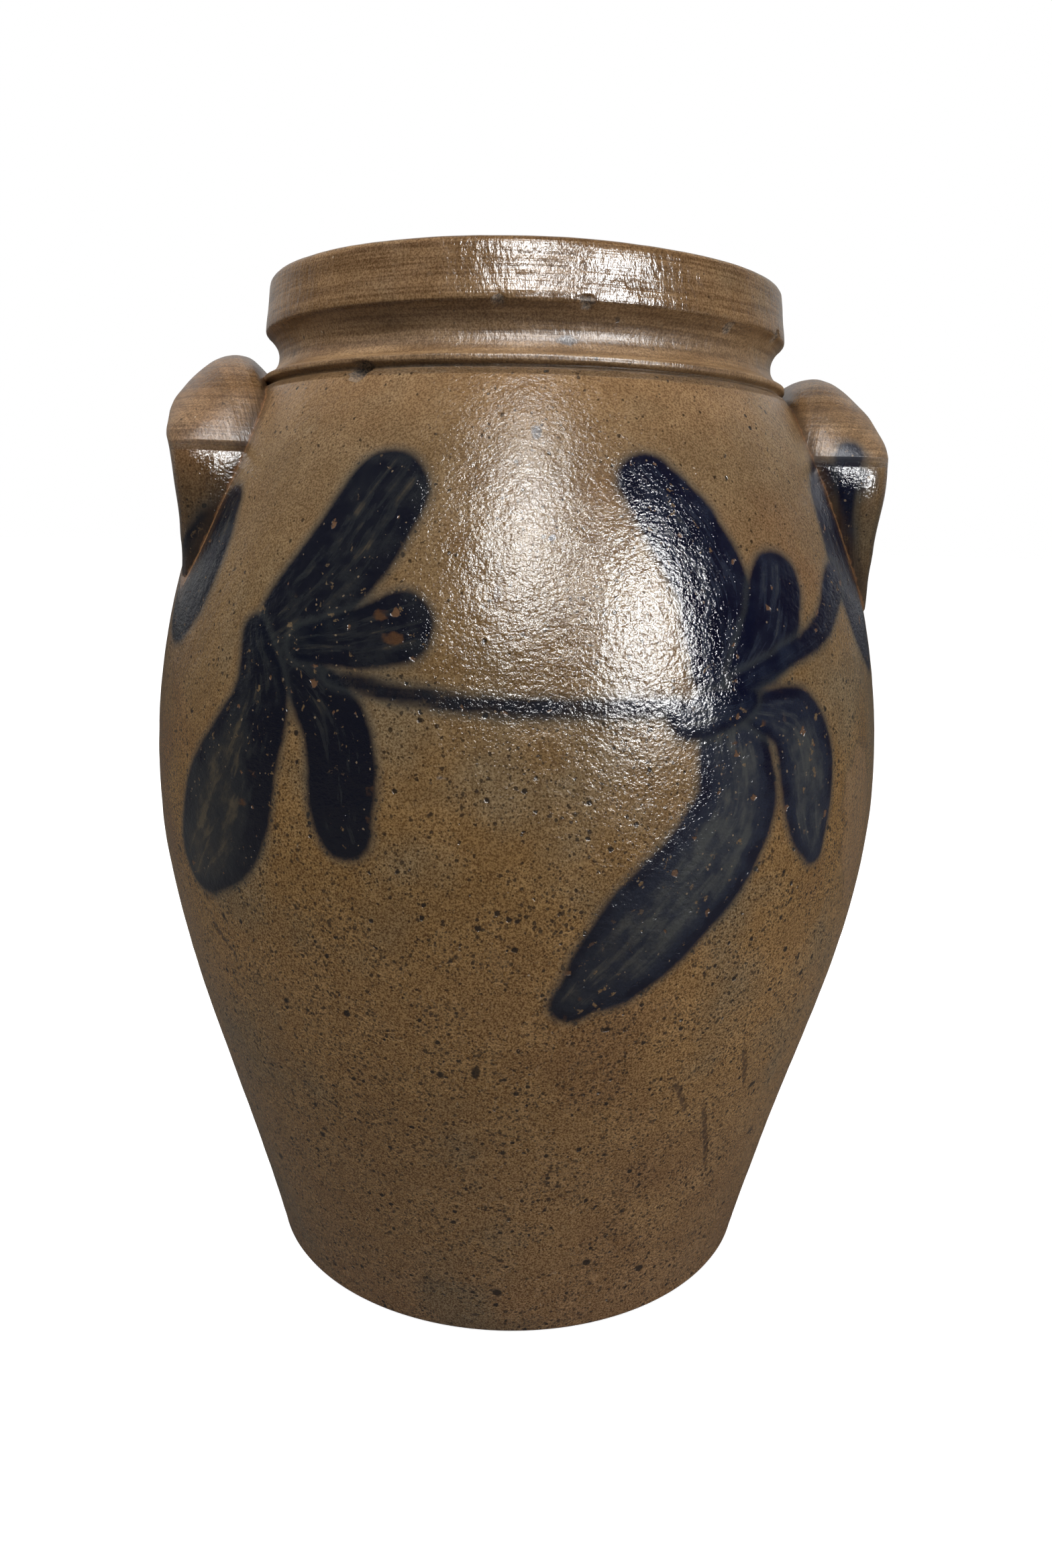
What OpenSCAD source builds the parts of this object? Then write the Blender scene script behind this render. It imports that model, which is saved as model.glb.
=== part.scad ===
// Salt-glazed stoneware crock for fermenting: an ovoid jar with a squared collar rim, two lug
// handles luted to its shoulder, an inset lid with a knob, and two half-moon weights on its floor.
// Millimetres. Z = 0 is the face that the crock stands on and the Z axis is the axis it was
// thrown on. The handles lie on the X axis.

/* [Crock wall] */
// Height of the crock from its foot to the top of its rim
crock_h = 345; // [335:1:360]
// Outer radius of the belly, the widest place
belly_r = 130; // [126:1:136]
// Height of the belly
belly_z = 179; // [170:1:186]
// Outer radius of the foot
foot_r = 91; // [86:1:98]
// Outward lean of the wall where it leaves the foot, as radius over height
foot_lean = 0.23; // [0.18:0.01:0.28]
// Lean of the shoulder where it meets the neck, as radius over height
shoulder_lean = 0.78; // [0.7:0.01:0.9]
// Thickness of the wall
wall_t = 9; // [8:0.5:11]
// Thickness of the floor
floor_t = 12; // [9:0.5:14]

/* [Neck and rim] */
// Outer radius of the neck at the incised groove
neck_r = 89.5; // [86:0.5:92]
// Depth of the undercut below the rim
cove_depth = 5; // [3:0.5:6]
// Height of the collar rim
rim_h = 17.5; // [14:0.5:20]
// Outer radius of the rim's lower edge
rim_r = 89; // [87:0.5:92]
// Inner radius of the throat, which the weights and the food pass through
throat_r = 72; // [68:0.5:74]
// Inner radius of the rim, which the lid drops into
rim_in_r = 79; // [77:0.5:80]
// Depth of the lid's ledge below the top of the rim
seat_depth = 22; // [20:0.5:25]

/* [Lug handles] */
// Half of the angle at the axis between the middles of a handle's two legs
lug_half_a = 25; // [22:0.5:26]
// Height where the arch of a handle ends and its legs begin
lug_spring_z = 284.5; // [281:0.5:286]
// Rise of the arch above that height
lug_rise = 21.5; // [18:0.5:23]
// Height of the ends of the legs
lug_end_z = 251.5; // [244:0.5:256]
// How far a handle is pressed into the wall
lug_bite = 3; // [2:0.5:5]
// How much lower the right handle sits than the left one
right_lug_drop = 2; // [0:0.5:5]
// How much further the right handle stands out than the left one
right_lug_out = 2; // [0:0.5:3]

/* [Lid] */
// Gap round the lid inside the rim
lid_gap = 1.2; // [0.8:0.1:2]
// Thickness of the lid at its edge
lid_edge_t = 9; // [7:0.5:11]
// Rise of the lid from its edge to its flat middle
lid_rise = 2.5; // [1:0.5:4]
// Radius of the knob at its widest
knob_r = 17; // [14:0.5:20]
// Height of the knob
knob_h = 16; // [12:0.5:18]

/* [Weights] */
// Radius of the pair of half-moon weights
weight_r = 75; // [70:0.5:76]
// Thickness of a weight
weight_t = 16; // [12:0.5:20]
// Gap between the two straight edges
weight_gap = 4; // [2:0.5:6]
// Radius of the finger hole in each weight
finger_hole_r = 11; // [9:0.5:13]

/* [Hidden] */
$fn = 96;

glaze = [0.45, 0.38, 0.31];
glaze_dark = [0.38, 0.30, 0.24];
bare_clay = [0.62, 0.53, 0.43];
big = 400;
rest_gap = 0.3;

// Wall: two cubic curves meet at the belly, with these lengths of pull along their tangents
foot_pull = 0.436 * belly_z;
belly_pull_down = 0.29 * belly_z;
groove_z = crock_h - 34;
belly_pull_up = 0.386 * (groove_z - belly_z);
shoulder_pull = 0.235 * (groove_z - belly_z);
foot_round = 2.5;
groove_w = 1.4;
groove_d = 1.1;
bead_z = groove_z + 2.4;
bead_out = 0.6;
rim_z = crock_h - rim_h;
rim_lean = 1.7;
rim_round = 2.5;
cove_r = rim_r - cove_depth;
lower_steps = 16;
upper_steps = 16;
cove_steps = 7;
corner_steps = 4;

// Inside
floor_round = 8;
seat_z = crock_h - seat_depth;
ledge_t = 8;
throat_run = 9;
in_steps = 16;

// Handles: the sweep runs from -1 to 1 along the arch, with its crown at 0
arch_end = 0.55;
lug_rings = 28;
lug_sides = 16;
lug_toe_in = 4;
squareness = 0.85;
// Rows of [place along the half arch, value]
lug_centre_r = [[0, 105.5], [0.3, 105.5], [0.55, 110.5], [0.8, 111.5], [1, 114.5]];
lug_reach = [[0, 18.5], [0.3, 17.5], [0.55, 14.5], [0.8, 9.5], [1, 7]];
lug_half_w = [[0, 12.5], [0.3, 11], [0.55, 10], [0.8, 9.5], [1, 9]];
lug_droop_a = [[0, 48], [0.3, 35], [0.55, 17], [0.8, 2], [1, 0]];

// Lid
lid_r = rim_in_r - lid_gap;
lid_z = seat_z + rest_gap;
lid_pad_r = 24;
lid_round = 2;
knob_foot_r = 0.72 * knob_r;
knob_waist_r = 0.6 * knob_r;
knob_z = lid_z + lid_edge_t + lid_rise;

// Weights
weight_z = floor_t + rest_gap;
weight_round = 3;
finger_hole_x = 0.45 * weight_r;

function bezier(a, b, c, d, t) =
    pow(1 - t, 3) * a + 3 * pow(1 - t, 2) * t * b + 3 * (1 - t) * t * t * c + t * t * t * d;
function bezier_points(a, b, c, d, n, first = 0) = [for (i = [first:n]) bezier(a, b, c, d, i / n)];
// Points on a quarter or part circle in the outline's own plane
function arc(x, z, r, from, to, n) =
    [for (i = [0:n]) let (a = from + (to - from) * i / n) [x + r * cos(a), z + r * sin(a)]];
function reverse(list) = [for (i = [len(list) - 1:-1:0]) list[i]];

lower_wall = bezier_points(
    [foot_r, 0],
    [foot_r + foot_lean * foot_pull, foot_pull],
    [belly_r, belly_z - belly_pull_down],
    [belly_r, belly_z],
    lower_steps);
upper_wall = bezier_points(
    [belly_r, belly_z],
    [belly_r, belly_z + belly_pull_up],
    [neck_r + shoulder_lean * shoulder_pull, groove_z - shoulder_pull],
    [neck_r, groove_z],
    upper_steps, 1);
wall = concat(lower_wall, upper_wall);
// The same curve as height and radius, for looking up the wall at any height
wall_table = [for (p = wall) [p[1], p[0]]];
function wall_r(z) = lookup(z, wall_table);

foot_edge = arc(wall_r(foot_round) - foot_round, foot_round, foot_round, -90, 0, corner_steps);
groove = [
    [wall_r(groove_z - groove_w) , groove_z - groove_w],
    [neck_r - groove_d, groove_z],
    [neck_r + bead_out, groove_z + groove_w]];
cove = bezier_points(
    [neck_r + bead_out, bead_z],
    [cove_r - 0.5, bead_z + 3],
    [cove_r - 0.5, rim_z - 5],
    [rim_r - 1.2, rim_z - 0.6],
    cove_steps);
rim_top_r = rim_r - rim_lean;
rim_face = concat(
    [[rim_r, rim_z + 0.8]],
    arc(rim_top_r - rim_round, crock_h - rim_round, rim_round, 0, 90, corner_steps),
    arc(rim_in_r + rim_round, crock_h - rim_round, rim_round, 90, 180, corner_steps));

outer_line = concat(
    foot_edge,
    [for (p = wall) if (p[1] > foot_round + 1 && p[1] < groove_z - groove_w - 1) p],
    groove, cove, rim_face);

// Inside line from the lid's ledge down to the middle of the floor
ledge_under_z = seat_z - ledge_t;
in_top_z = ledge_under_z - throat_run;
in_low_z = floor_t + floor_round;
inner_wall = [for (i = [0:in_steps]) let (z = in_top_z + (in_low_z - in_top_z) * i / in_steps)
    [wall_r(z) - wall_t, z]];
inner_line = concat(
    [[rim_in_r, seat_z], [throat_r, seat_z], [throat_r, ledge_under_z]],
    inner_wall,
    reverse(arc(wall_r(in_low_z) - wall_t - floor_round, in_low_z, floor_round, -90, 0, corner_steps)),
    [[0, floor_t]]);

module crock_body() {
    color(glaze)
        rotate_extrude()
            polygon(concat([[0, 0]], outer_line, inner_line));
}

// Middle of a handle's strap at u, as [angle from the middle of the handle, radius, height]
function lug_centre(u, drop, out) =
    let (
        k = abs(u),
        leg = max(0, (k - arch_end) / (1 - arch_end)),
        turn = min(k / arch_end, 1) * 90,
        side = sign(u),
        a = k < arch_end ? lug_half_a * sin(turn) : lug_half_a - lug_toe_in * leg * leg,
        z = k < arch_end ? lug_spring_z + lug_rise * cos(turn)
            : lug_spring_z - (lug_spring_z - lug_end_z) * leg)
    [side * a, lookup(k, lug_centre_r) + out, z - drop];
function lug_point(c) = [c[1] * cos(c[0]), c[1] * sin(c[0]), c[2]];
function unit(v) = v / norm(v);
// A handle's face is pressed lug_bite deep into the wall, and never deeper
function pressed(p) =
    let (
        r = norm([p[0], p[1]]),
        low = p[2] < groove_z ? wall_r(p[2]) - lug_bite : 0,
        s = max(r, low) / r)
    [p[0] * s, p[1] * s, p[2]];
function rounded_power(v) = sign(v) * pow(abs(v), squareness);

function lug_ring(u, drop, out) =
    let (
        c = lug_centre(u, drop, out),
        ahead = lug_point(lug_centre(min(u + 0.01, 1), drop, out)),
        behind = lug_point(lug_centre(max(u - 0.01, -1), drop, out)),
        along = unit(ahead - behind),
        droop = lookup(abs(u), lug_droop_a),
        outward = [cos(droop) * cos(c[0]), cos(droop) * sin(c[0]), -sin(droop)],
        reach_dir = unit(outward - along * (along * outward)),
        width_dir = cross(along, reach_dir),
        reach = lookup(abs(u), lug_reach),
        half_w = lookup(abs(u), lug_half_w))
    [for (i = [0:lug_sides - 1]) let (a = 360 * i / lug_sides)
        pressed(lug_point(c) + reach * rounded_power(cos(a)) * reach_dir
            + half_w * rounded_power(sin(a)) * width_dir)];

// A strap that arches over a finger hollow: its crown droops outward and its legs die into the wall
module lug(drop, out) {
    rings = [for (i = [0:lug_rings]) lug_ring(2 * i / lug_rings - 1, drop, out)];
    points = [for (ring = rings) each ring];
    sides = [for (i = [0:lug_rings - 1]) for (j = [0:lug_sides - 1])
        let (k = (j + 1) % lug_sides, a = i * lug_sides, b = a + lug_sides)
        each [[a + j, b + j, a + k], [a + k, b + j, b + k]]];
    start_cap = [for (j = [1:lug_sides - 2]) [0, j, j + 1]];
    last = lug_rings * lug_sides;
    end_cap = [for (j = [1:lug_sides - 2]) [last, last + j + 1, last + j]];
    polyhedron(points, concat(sides, start_cap, end_cap));
}

module handle_left() {
    color(glaze_dark)
        rotate([0, 0, 180])
            lug(0, 0);
}

module handle_right() {
    color(glaze_dark)
        lug(right_lug_drop, right_lug_out);
}

module lid_disc() {
    edge_z = lid_z + lid_edge_t;
    color(glaze)
        rotate_extrude()
            polygon(concat(
                [[0, lid_z], [lid_r - lid_round, lid_z], [lid_r, lid_z + lid_round]],
                arc(lid_r - lid_round, edge_z - lid_round, lid_round, 0, 90, corner_steps),
                [[lid_pad_r, edge_z + lid_rise], [0, edge_z + lid_rise]]));
}

module lid_knob() {
    cap_h = 0.45 * knob_h;
    waist_z = knob_z + 0.3 * knob_h;
    cap_z = knob_z + knob_h - cap_h;
    color(glaze_dark)
        rotate_extrude()
            polygon(concat(
                [[0, knob_z], [knob_foot_r, knob_z], [knob_waist_r, waist_z]],
                [for (i = [0:6]) let (a = -60 + 25 * i)
                    [(knob_r - cap_h) + cap_h * cos(a), cap_z + cap_h * sin(a) * 0.9]],
                [[0, knob_z + knob_h]]));
}

module weight(side) {
    color(bare_clay)
        difference() {
            intersection() {
                translate([0, 0, weight_z])
                    rotate_extrude()
                        polygon([
                            [0, 0], [weight_r - weight_round, 0], [weight_r, weight_round],
                            [weight_r, weight_t - weight_round], [weight_r - weight_round, weight_t],
                            [0, weight_t]]);
                translate([side > 0 ? weight_gap / 2 : -big - weight_gap / 2, -big / 2, 0])
                    cube([big, big, big]);
            }
            translate([side * finger_hole_x, 0, weight_z - 1])
                cylinder(r = finger_hole_r, h = weight_t + 2);
        }
}

module weight_left() {
    weight(-1);
}

module weight_right() {
    weight(1);
}

crock_body();
handle_left();
handle_right();
lid_disc();
lid_knob();
weight_left();
weight_right();
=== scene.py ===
"""Looks of a salt-glazed stoneware crock for fermenting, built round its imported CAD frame.

Every CAD piece is replaced by a finer mesh of the same size: the thrown crock with its cobalt
brushwork, the two pulled handles, the inset lid with its knob and the two half-moon weights.
The front of the crock faces -Y. Azimuths are in degrees round from the front towards +X.
"""

import itertools
import math

import bpy
import numpy as np
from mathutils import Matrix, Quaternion, Vector
from mathutils.kdtree import KDTree


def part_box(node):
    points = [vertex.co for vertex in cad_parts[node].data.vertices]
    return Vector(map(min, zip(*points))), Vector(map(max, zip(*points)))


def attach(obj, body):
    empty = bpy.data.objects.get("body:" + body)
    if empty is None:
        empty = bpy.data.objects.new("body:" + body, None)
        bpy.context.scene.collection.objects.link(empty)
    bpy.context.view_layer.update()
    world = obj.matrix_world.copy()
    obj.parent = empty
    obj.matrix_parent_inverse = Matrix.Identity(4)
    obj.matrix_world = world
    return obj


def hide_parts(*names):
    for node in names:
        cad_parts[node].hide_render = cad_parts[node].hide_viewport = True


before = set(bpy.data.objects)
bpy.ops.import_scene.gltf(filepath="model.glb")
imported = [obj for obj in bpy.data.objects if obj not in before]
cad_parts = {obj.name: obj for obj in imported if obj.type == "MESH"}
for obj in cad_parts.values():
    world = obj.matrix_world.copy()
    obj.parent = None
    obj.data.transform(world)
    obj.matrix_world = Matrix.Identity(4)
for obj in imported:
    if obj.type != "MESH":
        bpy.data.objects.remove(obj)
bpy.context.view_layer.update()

MM = 0.001
CROCK_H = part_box("crock_body")[1].z
NECK_Z = CROCK_H - 34 * MM
RIM_R = 89  # mm, the radius at which the sizes of chips are measured

# Mesh: the front, which carries the brushwork, is finer than the back
FRONT_HALF = 80
FRONT_STEP = 0.9
BACK_STEP = 1.6

# Brushwork: each stroke runs through points of (azimuth, height, half width), the last two in mm.
# Strokes in one layer hardly overlap, and the later layers lie on the earlier ones.
STEM = [(-28, 226, 2), (-20, 223, 2.5), (-3, 220, 2.5), (16, 220, 2.5)]
STROKES = {
    "under": [
        [(-40, 234, 5), (-35, 243, 12), (-28, 260, 14), (-24, 275, 13)],
        [(-36, 229, 3), (-31.5, 223, 7.5), (-27, 211, 10.5), (-26, 198, 11), (-26, 188, 9.5),
         (-25.5, 184, 8.5)],
        [(14.5, 279, 9), (19.5, 265, 12), (23, 247, 12.5), (22, 229, 8.5)],
        [(24, 213, 11), (25, 195, 14), (21.5, 178, 15.5), (14.5, 161, 16), (9, 147, 13),
         (5.5, 139.5, 8), (3.5, 135, 6)],
        [(-56.5, 272, 6), (-58.5, 260, 11), (-63, 247, 14.5), (-66, 242, 14)],
        [(59, 285, 5), (55, 274, 9), (55.5, 259, 11), (60, 243, 12), (64, 228, 6)],
    ],
    "middle": [
        [(-33, 234, 5), (-26, 236, 8), (-19.5, 240, 10)],
        [(-42, 236, 5), (-39.5, 219, 10.5), (-43, 199, 16), (-47, 182, 20.5), (-52, 168.5, 15)],
        STEM,
        [(34, 251, 11), (32, 240, 11), (26, 227, 6)],
        [(27, 218, 4), (34.5, 214, 10), (38, 199, 13.5), (38.5, 185, 10.5), (40, 174, 5)],
    ],
    "over": [
        [(15.5, 219, 3), (17.5, 216, 5), (20, 217.5, 6), (24, 219, 5), (27, 221, 3)],
        [(25, 225, 3), (33, 231, 3), (43, 239, 4.5), (50, 252, 6.5)],
    ],
}
LUG_RUN = [  # a drop of cobalt that runs down the right handle: (azimuth, height, half width)
    (61, 292, 5), (60, 284, 3), (61, 270, 2.5), (63, 256, 3),
]
LUG_RUN_R = 115 * MM  # the run keeps near this radius, down the front of the strap's near leg
LUG_RUN_STEPS = 40
LUG_RUN_STEP = 1.2  # mm given to each step along the run, which sets how long its streaks are
BACK_STROKES = [
    [(122, 278, 6), (121, 262, 11), (116, 242, 15), (114, 230, 13)],
    [(-122, 280, 6), (-121, 264, 10), (-118, 244, 13), (-116, 232, 10)],
]
SLIP_THICK = {"under": 0.16, "middle": 0.12, "over": 0.5}  # mm that each layer stands up
STEM_DEPTH = 0.8  # mm, the most that the stem counts as, which keeps its slip thin
OFF_STROKE = -60.0  # mm, the depth where no stroke is near
OFF_MARK = -40.0  # mm, the depth where no chip, scratch or spot is near
STROKE_GAP = 137  # mm between the places along two strokes, so that their streaks differ


# ---------------------------------------------------------------- numbers

def smooth_line(places, values, at):
    """A curve through the values at the places, read at other places. It never overshoots."""
    places, values = np.asarray(places, float), np.asarray(values, float)
    gaps = np.diff(places)
    slopes = np.diff(values, axis=0) / gaps[:, None]
    tangents = np.concatenate([slopes[:1], np.zeros_like(slopes[1:]), slopes[-1:]])
    product = slopes[:-1] * slopes[1:]
    total = np.where(product > 0, slopes[:-1] + slopes[1:], 1)
    tangents[1:-1] = np.where(product > 0, 2 * product / total, 0)
    i = np.clip(np.searchsorted(places, at, side="right") - 1, 0, len(gaps) - 1)
    gap = gaps[i][:, None]
    t = ((at - places[i]) / gaps[i])[:, None]
    start, end = values[i], values[i + 1]
    bend = (1 - t) * tangents[i] * gap - t * tangents[i + 1] * gap
    s = t * t * (3 - 2 * t)
    return start + (end - start) * s + t * (1 - t) * bend


def lengths_along(points):
    """Length of a polyline from its start to each of its points."""
    steps = np.linalg.norm(np.diff(points, axis=0), axis=1)
    return np.concatenate([[0], np.cumsum(steps)])


def smoothstep(x, low, high):
    t = np.clip((x - low) / (high - low), 0, 1)
    return t * t * (3 - 2 * t)


def turn_from(start, azimuth):
    """Degrees from a start to an azimuth, from -180 to 180."""
    return (azimuth - start + 180) % 360 - 180


def lumps(points, size, seed):
    """Smooth noise from about -1 to 1, with lumps of the given size, at an array of points."""
    side = 32
    grid = np.random.default_rng(seed).uniform(-1, 1, (side, side, side))
    scaled = np.asarray(points) / size + side / 2
    cell = np.floor(scaled).astype(int)
    t = scaled - cell
    t = t * t * (3 - 2 * t)
    total = np.zeros(scaled.shape[:-1])
    for corner in itertools.product((0, 1), repeat=3):
        weight = np.prod(np.where(corner, t, 1 - t), axis=-1)
        x, y, z = np.moveaxis((cell + corner) % side, -1, 0)
        total += weight * grid[x, y, z]
    return total


# ---------------------------------------------------------------- the crock's outline

def turned_outline(node):
    """(radius, height) points round a turned CAD node, as its outside and its inside line.

    The outside climbs from the foot to the top of the rim, and the inside comes down again.
    """
    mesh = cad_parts[node].data
    points = np.array([v.co for v in mesh.vertices])
    outside, inside = set(), set()
    for face in mesh.polygons:
        centre, normal = face.center, face.normal
        radial = (normal.x * centre.x + normal.y * centre.y) / max(math.hypot(centre.x, centre.y), 1e-9)
        for x, y, z in points[list(face.vertices)]:
            spot = (round(math.hypot(x, y), 5), round(z, 5))
            if radial > 0.02:
                outside.add(spot)
            elif radial < -0.02:
                inside.add(spot)
    rising = thinned(sorted(outside, key=lambda p: p[1]))
    falling = thinned(sorted(inside, key=lambda p: (-p[1], -p[0])))
    return np.array(rising), np.array(falling)


def thinned(points):
    """The points without those that lie on the one before."""
    kept = points[:1]
    for point in points[1:]:
        if math.dist(point, kept[-1]) > 0.05 * MM:
            kept.append(point)
    return kept


OUTSIDE, INSIDE = turned_outline("crock_body")
WALL = OUTSIDE[OUTSIDE[:, 1] < NECK_Z - 1 * MM]
FLOOR_Z = INSIDE[-1, 1]
SLANT = lengths_along(OUTSIDE)


def wall_radius(z):
    return np.interp(z, WALL[:, 1], WALL[:, 0])


def slant_height(z):
    """Length along the outside of the crock from its foot up to a height."""
    return np.interp(z, OUTSIDE[:, 1], SLANT)


def crock_rows():
    """Rows of the crock's mesh as (radius, height), and 1 for each that is on the outside."""
    corners = np.concatenate([[[1 * MM, 0]], OUTSIDE, INSIDE, [[1 * MM, FLOOR_Z]]])
    place = lengths_along(corners)
    first_in = len(OUTSIDE) + 1
    lip = place[first_in + np.searchsorted(-INSIDE[:, 1], -(CROCK_H - 44 * MM))]
    foot = place[1]
    shoulder, groove, bead, under_rim, rim = (
        foot + slant_height(CROCK_H - below * MM) for below in (47, 36.5, 29, 20, 14.5))
    spans = [
        (0, foot - 4 * MM, 11 * MM),
        (foot - 4 * MM, foot + 6 * MM, 0.8 * MM),
        (foot + 6 * MM, shoulder, 2.1 * MM),
        (shoulder, groove, 1.1 * MM),
        (groove, bead, 0.4 * MM),
        (bead, under_rim, 1.0 * MM),
        (under_rim, rim, 0.5 * MM),
        (rim, lip, 1.2 * MM),
        (lip, place[-1], 7.5 * MM),
    ]
    at = [np.linspace(a, b, max(2, round((b - a) / step)), endpoint=False) for a, b, step in spans]
    at = np.concatenate([*at, [place[-1]]])
    rows = smooth_line(place, corners, at)
    outside = (at > foot) & (at < place[first_in])
    return rows, outside


def crock_angles():
    """Azimuths of the crock's columns in degrees, closer together at the front."""
    front = np.arange(-FRONT_HALF, FRONT_HALF, FRONT_STEP)
    back_count = round((360 - 2 * FRONT_HALF) / BACK_STEP)
    back = np.linspace(FRONT_HALF, 360 - FRONT_HALF, back_count, endpoint=False)
    return np.concatenate([front, back])


# ---------------------------------------------------------------- meshes

def turned_points(rows, azimuths):
    """Grid of points, rows by columns, that turns (radius, height) rows round the axis."""
    a = np.radians(azimuths)[None, :]
    r, z = rows[:, :1], rows[:, 1:]
    return np.stack([r * np.sin(a), -r * np.cos(a), z + 0 * a], axis=-1)


def outward(rows, azimuths):
    """Unit normals of the turned surface, pointing out of the clay."""
    along = np.gradient(rows, axis=0)
    along /= np.maximum(np.linalg.norm(along, axis=1, keepdims=True), 1e-9)
    out, up = along[:, 1:], -along[:, :1]
    a = np.radians(azimuths)[None, :]
    return np.stack([out * np.sin(a), -out * np.cos(a), up + 0 * a], axis=-1)


def grid_mesh(name, grid, body, cad_node):
    """A closed piece from a grid of points whose columns wrap round. Its two ends are fans."""
    rows, columns = grid.shape[:2]
    ends = np.stack([grid[0].mean(0), grid[-1].mean(0)])
    points = np.concatenate([grid.reshape(-1, 3), ends])
    index = np.arange(rows * columns).reshape(rows, columns)
    right = np.roll(index, -1, axis=1)
    quads = np.stack([index[:-1], right[:-1], right[1:], index[1:]], axis=-1).reshape(-1, 4)
    first = np.full(columns, rows * columns)
    start = np.stack([right[0], index[0], first], axis=-1)
    end = np.stack([index[-1], right[-1], first + 1], axis=-1)
    faces = [*quads.tolist(), *start.tolist(), *end.tolist()]
    return new_piece(name, points.tolist(), faces, body, cad_node)


def new_piece(name, points, faces, body, cad_node):
    """A smooth mesh that rides on a body and stands for a CAD node."""
    mesh = bpy.data.meshes.new(name)
    mesh.from_pydata(points, [], faces)
    mesh.shade_smooth()
    piece = bpy.data.objects.new(name, mesh)
    bpy.context.scene.collection.objects.link(piece)
    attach(piece, body)
    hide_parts(cad_node)
    return piece


def store(piece, name, values):
    """Keeps one number, or three, for each grid point of a piece. The fans' centres get zeros."""
    values = np.asarray(values, np.float32)
    width = 3 if values.ndim == 3 else 1
    flat = values.reshape(-1, width)
    flat = np.concatenate([flat, np.zeros((2, width), np.float32)])
    kind = "FLOAT_VECTOR" if width == 3 else "FLOAT"
    attribute = piece.data.attributes.new(name, kind, "POINT")
    attribute.data.foreach_set("vector" if width == 3 else "value", flat.ravel())


# ---------------------------------------------------------------- brushwork

def stroke_line(points):
    """Closely spaced points of a stroke as (azimuth, height, half width), in degrees and metres."""
    points = np.array(points, float) * [1, MM, MM]
    flat = np.stack([np.radians(points[:, 0]) * wall_radius(points[:, 1]), slant_height(points[:, 1])], 1)
    place = lengths_along(flat)
    at = np.linspace(0, place[-1], max(8, round(place[-1] / (1.2 * MM))))
    return smooth_line(place, points, at), at


def stroke_field(strokes, azimuth, z):
    """For each point: depth inside the nearest stroke, place across it and place along it.

    The depth and the place along are in mm, and the place across runs from -1 to 1.
    """
    field = np.stack([np.full(z.shape, OFF_STROKE), np.zeros(z.shape), np.zeros(z.shape)], axis=-1)
    slant = slant_height(z)
    for number, points in enumerate(strokes):
        line, at = stroke_line(points)
        middle = np.stack([np.radians(line[:, 0]) * wall_radius(line[:, 1]), slant_height(line[:, 1])], 1)
        way = np.gradient(middle, axis=0)
        way /= np.linalg.norm(way, axis=1, keepdims=True)
        mean_a, mean_z, widest = line[:, 0].mean(), line[:, 1].mean(), line[:, 2].max()
        turn = turn_from(mean_a, azimuth) + mean_a
        near = (abs(turn - mean_a) < 45) & (abs(z - mean_z) < widest + 100 * MM)
        for i in range(len(line)):
            du = np.radians(turn[near] - line[i, 0]) * wall_radius(line[i, 1])
            dv = slant[near] - middle[i, 1]
            depth = (line[i, 2] - np.hypot(du, dv)) / MM
            if points == STEM:
                depth = np.minimum(depth, STEM_DEPTH)
            across = (dv * way[i, 0] - du * way[i, 1]) / line[i, 2]
            new = np.stack([depth, across, 0 * depth + at[i] / MM + STROKE_GAP * number], axis=-1)
            old = field[near]
            field[near] = np.where((depth > old[:, 0])[:, None], new, old)
    return field


# ---------------------------------------------------------------- crock

NO_JOINT = 40.0  # mm
SMOOTH_R = 13 * MM  # no relief this near the axis, where the columns crowd
CHIPS = [  # (azimuth, height, radius, depth) of bites out of the clay, the last three in mm
    (-36, 309.5, 3.5, 1.3), (-35, 311, 2, 1), (-9, 328, 1.5, 0.7), (7, 328, 2, 0.8), (40, 326, 2, 0.3),
    (-13, 201, 1, 0.2), (61, 328, 2.5, 0.8), (104, 344, 5, 1.6), (-148, 328, 3, 1), (171, 311, 3, 1),
]
SCRATCHES = [  # (azimuth, height) of the two ends of each scratch, in mm
    ((-54, 145), (-47, 134)), ((20, 107), (26, 84)), ((27, 96), (36, 50)), ((33, 112), (38, 88)),
]
KISS_PATCH = (54, 178, 13, 30)  # azimuth, height, half width and half height of a pale scar, in mm
SPOTS = {  # (azimuth, height, half width, half height) of small marks on the glaze, the last three in mm
    "dark": [(-9, 111, 1.5, 2.5), (40, 89, 2, 1.5), (47, 64, 2, 1.5), (16, 252, 1, 1),
             (-15, 214, 1, 1), (26, 122, 1, 1), (-31, 93, 1, 1), (5, 62, 1, 1)],
    "rusty": [(-22, 243, 2, 1.5), (-20, 237, 3, 1.5), (-7, 249, 1, 3), (-40, 196, 1.5, 1),
              (-42, 187, 2, 1), (5, 137, 1, 1), (3, 131, 1, 1), (-22, 196, 1, 1.5),
              (-22, 188, 1, 1), (29, 214, 1, 1), (24, 209, 1, 1)],
    "grey": [(4, 318, 3, 1.5), (-2, 292, 1.5, 2), (0, 264, 1, 1)],
}


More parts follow.
